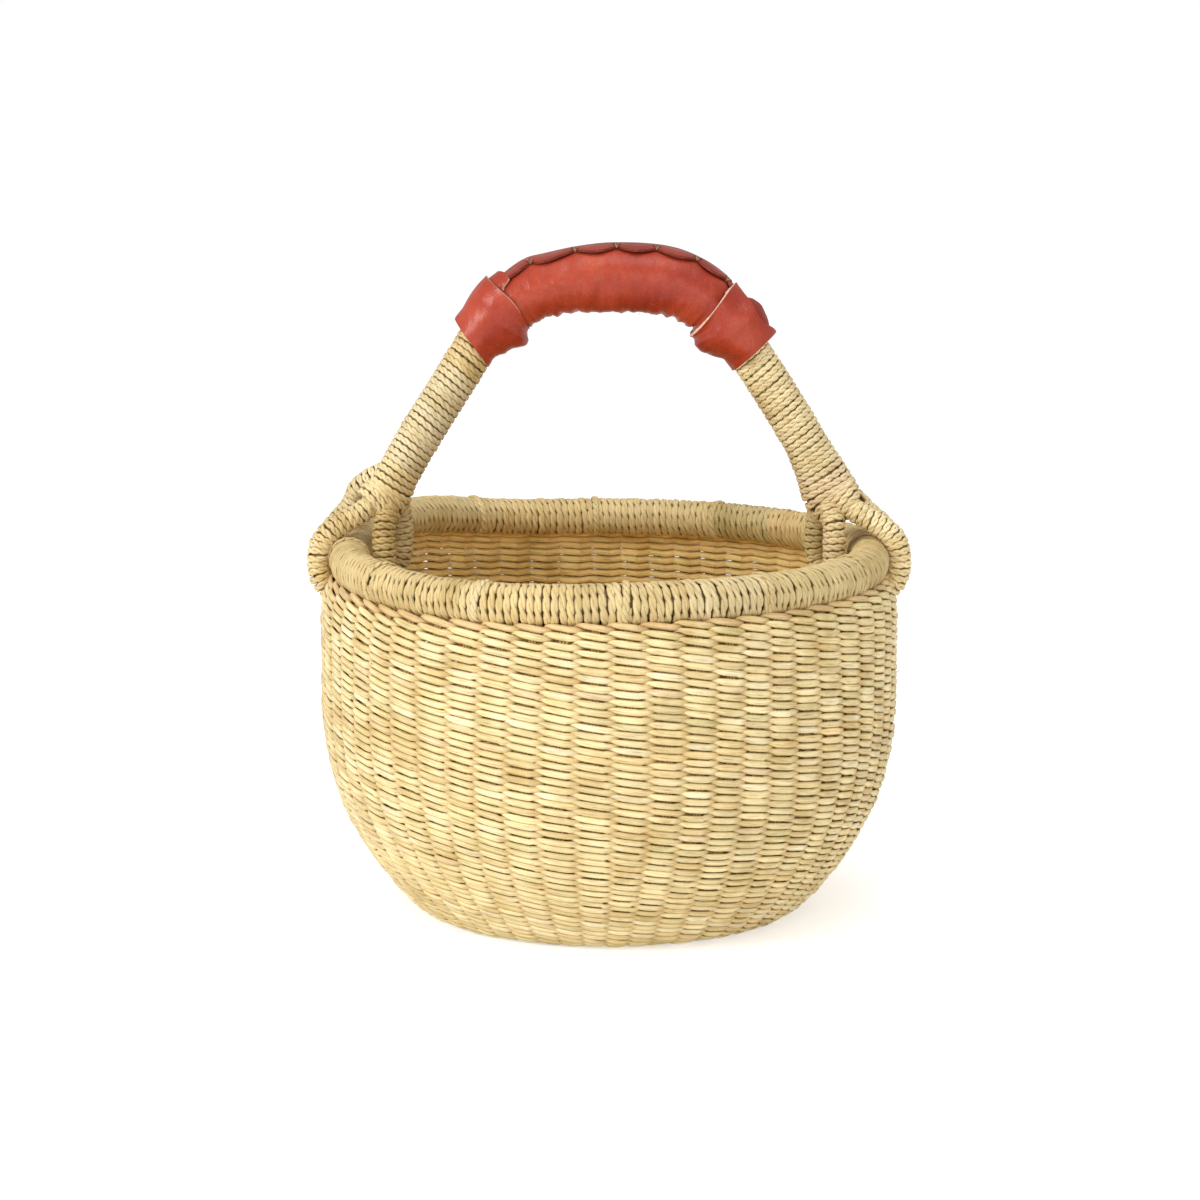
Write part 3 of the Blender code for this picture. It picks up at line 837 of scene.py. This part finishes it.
def smooth_line(points, count):
    """Evenly spaced points on a natural cubic spline through the given ones."""
    knots = np.array(points, dtype=float)
    at = lengths_along(knots)
    steps = np.diff(at)
    size = len(knots)
    system = np.eye(size)
    right = np.zeros_like(knots)
    for i in range(1, size - 1):
        before, after = steps[i - 1], steps[i]
        system[i, i - 1:i + 2] = before, 2 * (before + after), after
        right[i] = 6 * ((knots[i + 1] - knots[i]) / after - (knots[i] - knots[i - 1]) / before)
    bend = np.linalg.solve(system, right)
    fine = np.linspace(0, at[-1], 900)
    spans = np.clip(np.searchsorted(at, fine, side="right") - 1, 0, size - 2)
    width = steps[spans][:, None]
    low = (at[spans + 1] - fine)[:, None]
    high = (fine - at[spans])[:, None]
    line = (bend[spans] * low ** 3 + bend[spans + 1] * high ** 3) / (6 * width)
    line += (knots[spans] / width - bend[spans] * width / 6) * low
    line += (knots[spans + 1] / width - bend[spans + 1] * width / 6) * high
    lengths = lengths_along(line)
    return read_line(np.linspace(0, lengths[-1], count), lengths, line)


class Route:
    """A middle line measured by its length, with directions out of the arch and to the front."""

    def __init__(self, points):
        self.points = smooth_line(points, 600)
        self.length = float(lengths_along(self.points)[-1])
        self.stations = np.linspace(0, self.length, 600)
        ahead = directions(self.points, False)
        self.front = unit(np.array((0.0, -1.0, 0.0)) + ahead * ahead[:, 1:2])
        self.out = np.cross(self.front, ahead)

    def read(self, values, station):
        return read_line(station, self.stations, values)

    def station_of(self, point):
        return float(self.stations[np.argmin(np.linalg.norm(self.points - np.array(point), axis=1))])

    def around(self, station, radius, angle):
        """Points at radii and angles (from out towards front), and their outward directions."""
        station = np.atleast_1d(station)
        away = np.cos(angle)[:, None] * self.read(self.out, station)
        away = unit(away + np.sin(angle)[:, None] * self.read(self.front, station))
        return self.read(self.points, station) + np.reshape(radius, (-1, 1)) * away, away


def arch_route():
    right = [(share_x * foot_reach, handle_setback, foot_height + share_z * arch_rise)
             for share_x, share_z in arch_shares]
    return Route([(-x, y, z) for x, y, z in reversed(right[1:])] + right)


def eye_route(arch, side, depth):
    """One eye's middle line: out of the leg, round the rim and back into the leg."""
    foot = 0 if side < 0 else arch.length
    root = strand_root if side < 0 else arch.length - strand_root
    shares = front_eye_shares if depth < 0 else rear_eye_starts[side] + rear_eye_shares

    def in_leg(station, across):
        at = np.array([station])
        point = arch.read(arch.points, at) + across * arch.read(arch.out, at)
        return tuple((point - depth * strand_depth * arch.read(arch.front, at))[0])

    points = [in_leg(root, strand_side), in_leg(foot, strand_side)]
    if side < 0 < depth:
        points[1] = in_leg(foot + 0.004, 0.0083)
    for outward, up, spread in shares:
        y = handle_setback + depth * spread * eye_spread
        rim_x = math.sqrt(rim_radius ** 2 - y ** 2)
        points.append((side * (rim_x + outward * eye_reach), y, rim_height + up * eye_reach))
    inner_side = 0.0060 if side > 0 and depth > 0 else strand_side
    points += [in_leg(foot, -inner_side), in_leg(root, -strand_side)]
    return Route(points), points


def wound_straw(name, route, start, end, radius_at, lean, twists, tint, dim, straw, node):
    """One two-ply straw cord wound round a route from start to end, wrap beside wrap.

    dim is how much painted shade darkens its last part, where an eye ends inside the bowl.
    """
    total = max(int(round((end - start) / wrap_pitch)), 2)
    strand = Template((total, 28 if twists < 5 else 46), 6)
    wraps = np.linspace(0, total, strand.count)
    about = math.tau * wraps
    which = np.floor(wraps).astype(int)

    def uneven():
        return chance.standard_normal(total + 1)[which]

    sideways = wraps + lean * np.cos(about - 0.6) + 0.07 * uneven() * np.sin(about)
    station = start + (end - start) * np.clip(sideways / total, 0, 1)
    colours = colour_runs(total + 1, 7, 20)[which] * tint
    # Painted shade on the part of an eye inside the bowl
    colours *= 1 - dim * np.outer(step_up(wraps / total, 0.60, 0.74), (0.15, 0.21, 0.34))
    radius = radius_at(station, about) + np.abs(0.00011 * uneven())
    twist = twists * about + 0.7 + 0.35 * uneven()

    def place(along, lifted):
        return route.around(station + along, radius + lifted, about)

    laid = Straws()
    lay_cord(laid, strand, twist, place, handle_ply, colours)
    laid.gather(name, straw, "handle", "binding", node)


def bundle_straws(arch, depth, label, eyes, straw):
    """The long straws of one bundle, and the strands of its two eyes."""
    long_straw = Template((60,), 5)
    strand = Template((40,), 7)
    laid = Straws()
    station = np.linspace(0.001, arch.length - 0.001, long_straw.count)
    for number in range(8):
        angle = -depth * math.pi * (number + 0.5) / 8
        angles = np.full(long_straw.count, angle) + 0.12 * np.sin(station * 60 + number)
        points, out = arch.around(station, 0.0060, angles)
        points[:, 0] += leg_bow(arch, station - arch.length / 2)
        # Painted shade: the bundle's straws lie under the wraps
        laid.lay(long_straw, points, out, 0.0016, 0.0016, straw_colour() * bundle_shade)
    for route in eyes:
        station = np.linspace(0, route.length, strand.count)
        from_end = np.minimum(station, route.length - station) / strand_root
        radius = strand_root_radius + (strand_radius - strand_root_radius) * np.clip(from_end - 1, 0, 1)
        # The eye strands take the same painted shade
        laid.lay(strand, route.read(route.points, station), route.read(route.out, station), radius, radius,
                 straw_colour() * bundle_shade)
    laid.gather(f"bundle_straws_{label}", straw, "handle", "core", f"handle_bundle_{label}")


def leg_bow(arch, distance):
    """How far the left leg stands inward of the arch's even line, at distances from the top."""
    share = (-distance - leg_start) / (arch.length / 2 - leg_start)
    return left_leg_bow * np.sin(math.pi * np.clip(0.15 + 0.85 * share, 0, 1))


def leg_route(arch, side):
    """A leg's middle line, from under the cuff down past the foot, in the arch's direction."""
    reach = np.linspace(leg_start, arch.length / 2, 12)
    line = arch.read(arch.points, arch.length / 2 + side * reach)
    line[:, 0] += leg_bow(arch, side * reach)
    points = [tuple(point) for point in line]
    outward, backward, up = leg_ends[side]
    for share in (0.5, 1):
        points.append((side * (foot_reach + outward * share), handle_setback + backward * share,
                       foot_height + up * share))
    return Route(points if side > 0 else points[::-1])


def wind_eye(route, points, side, depth, name, straw, node):
    """The straw round one eye. A rear eye is wound from its root, a front one from the foot."""
    end_point, margin = (0, 0.002) if depth > 0 else (1, 0)
    start = route.station_of(points[end_point]) + margin
    end = route.station_of(points[-1 - end_point]) - margin

    def eye_radius(station, about):
        inside = np.clip(1 - np.minimum(station - start, end - station) / 0.008, 0, 1)
        return eye_wrap_radius - 0.0006 * inside

    wound_straw(name, route, start, end, eye_radius, 0.10, eye_twists, handle_tints[side], 1, straw, node)


def wind_leg(arch, side, lean, name, straw, node):
    """The straw round both bundles of one leg. The right leg has a groove between them."""
    route = leg_route(arch, side)
    foot = route.station_of((side * foot_reach, handle_setback, foot_height))

    def leg_radius(station, about):
        first, last, flare = foot_flares[side]
        past = step_up(side * (station - foot), first, last)
        past -= 0.8 * step_up(side * (station - foot), 0.0, 0.012)
        made = leg_wrap_radius + flare * past * np.cos(about) ** 2
        if side > 0:
            from_seam = (about - 1.9 + math.pi) % math.tau - math.pi
            made -= 0.0015 * hump(from_seam, 0, 0.26)
        return made

    wound_straw(name, route, 0.0004, route.length - 0.0004, leg_radius, lean, leg_twists,
                handle_tints[side], 0, straw, node)


def wound_handle(arch, straw):
    """The bundles, their eyes round the rim, and all that is wound about them."""
    sides = ((-1, "left", 0.75), (1, "right", -0.30))
    for depth, label in ((-1, "front"), (1, "rear")):
        routes = []
        for side, side_label, _ in sides:
            route, points = eye_route(arch, side, depth)
            routes.append(route)
            wind_eye(route, points, side, depth, f"eye_{side_label}_{label}", straw,
                     f"eye_binding_{side_label}_{label}")
        bundle_straws(arch, depth, label, routes, straw)
    for side, label, lean in sides:
        wind_leg(arch, side, lean, f"leg_{label}", straw, f"leg_binding_{label}")


# Grip

def grip_outer(distance):
    share = np.clip(np.abs(distance) / grip_half, 0, 1)
    return grip_radius - (grip_radius - grip_end_radius) * share ** grip_power


def cuff_outer(distance):
    share = np.clip((np.abs(distance) - cuff_start) / (cuff_end - cuff_start), 0, 1)
    mouth = float(grip_outer(cuff_start)) + 0.0003 + leather_thickness
    return mouth - (mouth - cuff_low_radius) * share ** cuff_power


def creases(along, angle, seed):
    """Height of the leather's wrinkles: fine at the front, deep under the bend."""
    made = np.zeros(len(along))
    for i, (s, a) in enumerate(zip(along, angle)):
        under = 0.5 - 0.5 * math.cos(a)
        gather = noise.noise(Vector((s * 260, a * 0.9, seed)))
        ripple = noise.noise(Vector((s * 620, a * 2.2, seed + 9)))
        soft = noise.noise(Vector((s * 70, a * 1.3, seed + 20)))
        made[i] = 0.00034 * soft + under ** 3 * (0.00085 * gather + 0.00035 * ripple)
        made[i] += 0.00042 * gather * min(1, 2 * under)
    return made


def leather_sheet(name, arch, size, place, finishes, node):
    """A sheet of leather, drawn flat as a grid, rolled round the arch and given its thickness.

    place turns shares along and around the sheet into a distance from the arch's top, a
    radius, an angle, and how much painted shade darkens the leather there.
    """
    start_clean()
    bpy.ops.mesh.primitive_grid_add(x_subdivisions=size[0], y_subdivisions=size[1], size=2)
    sheet = bpy.context.active_object
    sheet.name = name
    mesh = sheet.data
    mesh.name = name
    shares = (np.array([vert.co for vert in mesh.vertices]) + 1) / 2
    distance, radius, angle, painted_shade = place(shares[:, 0], shares[:, 1])
    points, out = arch.around(arch.length / 2 + distance, radius, angle)
    mesh.vertices.foreach_set("co", points.astype(np.float32).ravel())
    mesh.attributes.new("painted_shade", "FLOAT", "POINT").data.foreach_set("value", painted_shade.astype(np.float32))
    mesh.update()
    face = mesh.polygons[len(mesh.polygons) // 2]
    if np.dot(np.array(face.normal), out[face.vertices[0]]) < 0:
        switch_to("EDIT")
        bpy.ops.mesh.select_all(action="SELECT")
        bpy.ops.mesh.flip_normals()
        switch_to("OBJECT")
    for finish in finishes:
        mesh.materials.append(finish)
    wall = sheet.modifiers.new("Thickness", "SOLIDIFY")
    wall.thickness = leather_thickness
    wall.offset = -1
    wall.material_offset_rim = 1
    wall.use_even_offset = True
    bpy.ops.object.modifier_apply(modifier="Thickness")
    bpy.ops.object.shade_smooth_by_angle(angle=math.radians(42))
    seat(sheet, "handle", "leather", node)


def between_stitches(distance):
    """0 at each stitch of the seam and 1 halfway to the next."""
    gaps = np.interp(distance, stitch_places, np.arange(len(stitch_places)))
    return np.abs(np.sin(math.pi * gaps))


def seam_edge(distance):
    """The angle of the flap's free edge: pinched up at each stitch, hanging between them."""
    left_drop = 0.20 * step_up(-distance, 0.018, 0.030)
    return seam_angle - 0.30 + 0.37 * between_stitches(distance) ** 0.6 + left_drop


def sleeve_dip(distance):
    """How far the sleeve's top lies below its round form, left of the middle and at both cuffs."""
    left_end = 0.0036 * step_up(-distance, 0.030, 0.046)
    right_end = 0.0017 * step_up(distance, 0.026, 0.048) + 0.0022 * step_up(distance, 0.046, 0.052)
    return 0.0024 * hump(distance, -0.025, 0.017) + left_end + right_end


def grip_sleeve(arch, finishes):
    """The main turn of leather, whose free edge lies over its start along the seam."""
    start = seam_angle - 0.58

    def place(along, around):
        distance = (along * 2 - 1) * grip_half
        edge = seam_edge(distance)
        angle = start + around * (math.tau + edge - start)
        tuck = 0.0008 * (1 - step_up(angle, start, start + 0.70))
        lap = lap_rise * step_up(angle, math.tau - 0.60, math.tau - 0.05)
        radius = grip_outer(distance) - 0.0012 + lap - tuck
        hang = between_stitches(distance)
        radius += step_up(around, 0.93, 1.0) * (0.0009 * hang - 0.0009 * (1 - hang) ** 4)
        radius -= np.clip(np.cos(angle), 0, 1) * sleeve_dip(distance)
        under = 0.5 - 0.5 * np.cos(angle)
        radius += under ** 2 * (0.0014 + 0.0014 * step_up(np.abs(distance), 0.028, 0.044))
        # Painted shade: a darker strip along the flap, and a thin shadow line under its free edge
        painted_shade = 0.42 * step_up(angle, math.tau - 0.35, math.tau + 0.05)
        painted_shade += 0.75 * hump(angle, edge, 0.055) * (around < 0.5)
        return distance, radius + creases(distance, angle, 3.0), angle, painted_shade
    leather_sheet("grip_sleeve", arch, (150, 96), place, finishes, "grip_leather")


def left_cuff_ends(around, angle, outer_side):
    """Where the left cuff starts and ends: a tab stands out where its free edge meets the mouth."""
    tab = (1 - step_up(around, 0.18, 0.21)) * (0.35 + 0.65 * step_up(around, 0, 0.035))
    tab *= 0.0060 - 0.0026 * step_up(around, 0.05, 0.17)
    forward = 0.0030 * hump(angle % math.tau, 1.9, 0.8) * step_up(around, 0.5, 0.6)
    return cuff_start + 0.0008 - tab - forward, cuff_end + 0.0016 - 0.0100 * outer_side


def right_cuff_ends(around, angle, outer_side):
    """Where the right cuff starts and ends."""
    first = cuff_start + 0.0028 + 0.0048 * (1 - outer_side) - 0.0020 * np.sin(angle) ** 2
    return first, cuff_end + 0.0036 - 0.0040 * outer_side


def left_cuff_relief(along, around, angle, outer_side, lap, flap):
    """The left cuff is flattened on top and at the front, and has no painted shade."""
    flat = hump(angle % math.tau, 1.0, 0.50) * step_up(around, 0.5, 0.6)
    relief = flat * (0.0030 * np.clip(along - 0.35, 0, 1) - 0.0013 * step_up(along, 0.25, 0.50))
    relief -= 0.0028 * outer_side ** 3 + 0.0012 * (1 - step_up(around, 0, 0.03))
    return relief, 0 * angle


def right_cuff_relief(along, around, angle, outer_side, lap, flap):
    """The right cuff has a swell and a groove beside its free edge, and painted shade past that edge."""
    belly = np.sin(math.pi * along)
    relief = 0.0044 * outer_side ** 2 * step_up(along, 0.12, 0.50) - 0.0038 * outer_side ** 3
    relief += belly * (0.0012 * lap + 0.0010 * step_up(around, 0.93, 1.0))
    rear = 1 - step_up(around, 0.20, 0.28)
    ridges = 0.0016 * hump(angle, -0.1, 0.24) - 0.0030 * hump(angle, flap - 0.20, 0.20)
    relief += rear * (belly * ridges - 0.0014 * hump(along, 0.22, 0.05))
    return relief, rear * (0.25 * (angle < flap) + 0.65 * hump(angle, flap - 0.03, 0.09))


# Each cuff: its flap's angle, how far it overlaps, where the lap starts, how high its lip and its
# mouth stand, and how far it bulges in a fold under the bend
cuff_shapes = {-1: (-0.05, 1.17, 0.70, 0.0002, 0.0008, 0.0046, left_cuff_ends, left_cuff_relief),
               1: (0.62, 0.75, 0.74, 0.0006, 0.0026, 0.0028, right_cuff_ends, right_cuff_relief)}


def grip_cuff(name, arch, side, finishes, node):
    """A second turn of leather over the sleeve's end, with its free edge on the outer side."""
    flap_angle, overlap, lap_start, lip, mouth, bulge, ends, relief_at = cuff_shapes[side]

    def place(along, around):
        flap = flap_angle * (0.35 + 1.0 * np.sin(math.pi * along))
        angle = flap + overlap - around * (math.tau + overlap)
        outer_side = 0.5 + 0.5 * np.cos(angle)
        first, last = ends(around, angle, outer_side)
        reach = first + along * (last - first)
        lap = step_up(around, lap_start, lap_start + 0.12)
        radius = cuff_outer(reach) - 0.0004 + lap * lap_rise
        radius -= 0.0008 * (1 - step_up(around, 0.0, 0.14))
        radius += 0.0013 * step_up(along, 0.65, 1.0) * step_up(around, 0.86, 1.0)
        radius += lip * np.clip(1 - along / 0.08, 0, 1) ** 2
        radius += mouth * (1 - outer_side) ** 2 * (1 - step_up(along, 0.2, 0.6))
        relief, painted_shade = relief_at(along, around, angle, outer_side, lap, flap)
        fold = 0.0004 + bulge * hump(along, 0.42, 0.20) - 0.0018 * step_up(along, 0.55, 0.88)
        radius += relief + np.clip(-np.cos(angle), 0, 1) ** 1.5 * fold
        wrinkle = 0.3 + 0.5 * (1 - outer_side) ** 2
        return side * reach, radius + wrinkle * creases(reach, angle, 11.0 + side), angle, painted_shade
    leather_sheet(name, arch, (48, 92), place, finishes, node)


def grip_lacing(arch, thong):
    """Short stitches of thong across the seam, one at each pinch of the flap."""
    stitch = Template((12,), 6)
    laid = Straws()
    share = np.linspace(0, 1, stitch.count)
    lift = np.sin(math.pi * np.clip(share * 1.04, 0, 1)) ** 0.5
    for place in stitch_places[1:-1]:
        edge = float(seam_edge(np.array([place]))[0])
        radius = float(grip_outer(place)) - float(sleeve_dip(place)) * math.cos(edge) + 0.0001
        for lean, reach in ((-1, 0.32), (1, 0.16)):
            station = arch.length / 2 + place + lean * 0.0016 * share
            points, out = arch.around(station, radius + 0.0005 * lift - 0.0008 * (1 - lift),
                                      edge + 0.12 - reach * share)
            laid.lay(stitch, points, out, 0.00030, 0.00024, stitch_tint)
    laid.gather("grip_stitches", thong, "handle", "thong", "grip_lacing")


def loose_ends(straw):
    """Short ends of straw that stand off the outside where new straws were added."""
    end = Template((6,), 4)
    laid = Straws()
    share = np.linspace(0, 1, end.count)
    for _ in range(26):
        length = chance.uniform(0.30, 0.93) * bowl_length
        reach = chance.uniform(0.0025, 0.0060)
        turn = chance.uniform(0, math.tau) + share * reach / 0.12
        rise = chance.uniform(-0.0012, 0.0016) * share
        lift = 0.0017 + chance.uniform(0.0005, 0.0022) * share ** 2
        points, out = on_bowl(turn, length + rise, lift)
        laid.lay(end, points, out, 0.00050 * (1 - 0.6 * share), 0.00016, straw_colour())
    laid.gather("loose_ends", straw, "basket", "weave")


def leather_fuzz(arch, fluff):
    """Loose pale fibres from the flesh side of the leather, along the underside."""
    hair = Template((5,), 3)
    laid = Straws()
    share = np.linspace(0, 1, hair.count)
    thin = 0.00005 * (1 - 0.7 * share)
    for _ in range(320):
        distance = chance.uniform(-0.068, 0.068)
        station = arch.length / 2 + np.full(hair.count, distance)
        angle = math.pi + 0.34 * chance.standard_normal()
        under = cuff_outer(distance) if abs(distance) > cuff_start + 0.004 else grip_outer(distance)
        radius = float(under) - 0.0014 + chance.uniform(0.0008, 0.0030) * share
        curl = chance.standard_normal(2) * 0.0011
        points, _out = arch.around(station + curl[0] * share ** 1.5, radius,
                                   angle + curl[1] * share / 0.012)
        across = np.tile(arch.read(arch.front, station[:1]), (hair.count, 1))
        laid.lay(hair, points, across, thin, thin, fuzz_tint)
    laid.gather("leather_fuzz", fluff, "handle", "leather")


def grip_packing(arch, straw):
    """Straws packed under the leather, whose ends show at the mouths."""
    packed = Template((24,), 5)
    laid = Straws()
    for number in range(22):
        angle = math.tau * number / 22 + 0.1 * chance.standard_normal()
        reach = 0.057 + 0.002 * chance.random()
        distance = np.linspace(-reach, reach, packed.count)
        radius = grip_outer(distance) - 0.0040 - 0.0028 * max(math.cos(angle), 0)
        points, out = arch.around(arch.length / 2 + distance, radius, np.full(packed.count, angle))
        # Painted shade: the packing lies under the leather
        laid.lay(packed, points, out, 0.0016, 0.0013, straw_colour() * 0.7)
    laid.gather("grip_packing", straw, "handle", "core", "grip_padding")


# Stage

def soft_lamp(name, place, aim_height, size, power):
    lamp = bpy.data.lights.new(name, "AREA")
    lamp.shape = "DISK"
    lamp.size = size
    lamp.energy = power
    holder = put_in_scene(name, lamp)
    holder.location = place
    facing = Vector((0, 0, aim_height)) - Vector(place)
    holder.rotation_euler = facing.to_track_quat("-Z", "Y").to_euler()


def studio():
    """A white floor, a pale world, a soft key from the upper left and a weak fill."""
    start_clean()
    bpy.ops.mesh.primitive_plane_add(size=40)
    floor = bpy.context.active_object
    floor.name = "studio_floor"
    floor.data.materials.append(floor_material())
    world = bpy.data.worlds.new("studio_light")
    world.use_nodes = True
    bpy.context.scene.world = world
    tree = world.node_tree
    fill_inputs(tree, tree.nodes["Background"], {"Color": (1, 1, 1, 1),
                                                 "Strength": seen_level(tree, *world_light)})
    for name, settings in lamps.items():
        soft_lamp(name, *settings)


def portrait_camera():
    """The photograph's view: a long lens, ten degrees above the rim's level."""
    camera = bpy.data.cameras.new("camera")
    camera.sensor_width = 36
    camera.lens = camera_lens
    holder = put_in_scene("camera", camera)
    away = Vector((0, -math.cos(camera_tilt), math.sin(camera_tilt)))
    holder.location = camera_aim + camera_distance * away
    holder.rotation_euler = (math.pi / 2 - camera_tilt, 0, 0)
    bpy.context.scene.camera = holder


def main():
    bpy.context.scene.view_settings.view_transform = "Standard"
    weave_straw = straw_material("twined_straw", 0.46)
    wrap_straw = straw_material("wound_straw", 0.42)
    core_straw = straw_material("core_straw", 0.60)
    red = leather_material()
    cut_edge = fibre_material("cut_leather_edge", (0.62, 0.36, 0.24), (0.80, 0.58, 0.44), 600, 0.8)
    # The sleeve's cut edges are dark, painted shade that reads as the shadow line under its flap
    folded_edge = fibre_material("shaded_leather_edge", (0.16, 0.024, 0.014), (0.27, 0.050, 0.030), 600, 0.7)
    thong = fibre_material("thong_leather", (0.14, 0.08, 0.03), (0.34, 0.24, 0.12), 500, 0.7)
    fluff = fibre_material("leather_fluff", (0.62, 0.46, 0.46), (0.80, 0.70, 0.72), 300, 0.9)
    studio()
    portrait_camera()
    twined_rows(weave_straw)
    stakes(core_straw)
    plaited_mat(weave_straw)
    rolled_core(core_straw)
    rim_binding(wrap_straw)
    arch = arch_route()
    wound_handle(arch, wrap_straw)
    grip_packing(arch, core_straw)
    grip_sleeve(arch, (red, folded_edge))
    grip_cuff("cuff_left", arch, -1, (red, cut_edge), "grip_cuff_left")
    grip_cuff("cuff_right", arch, 1, (red, cut_edge), "grip_cuff_right")
    grip_lacing(arch, thong)
    leather_fuzz(arch, fluff)
    loose_ends(weave_straw)


main()
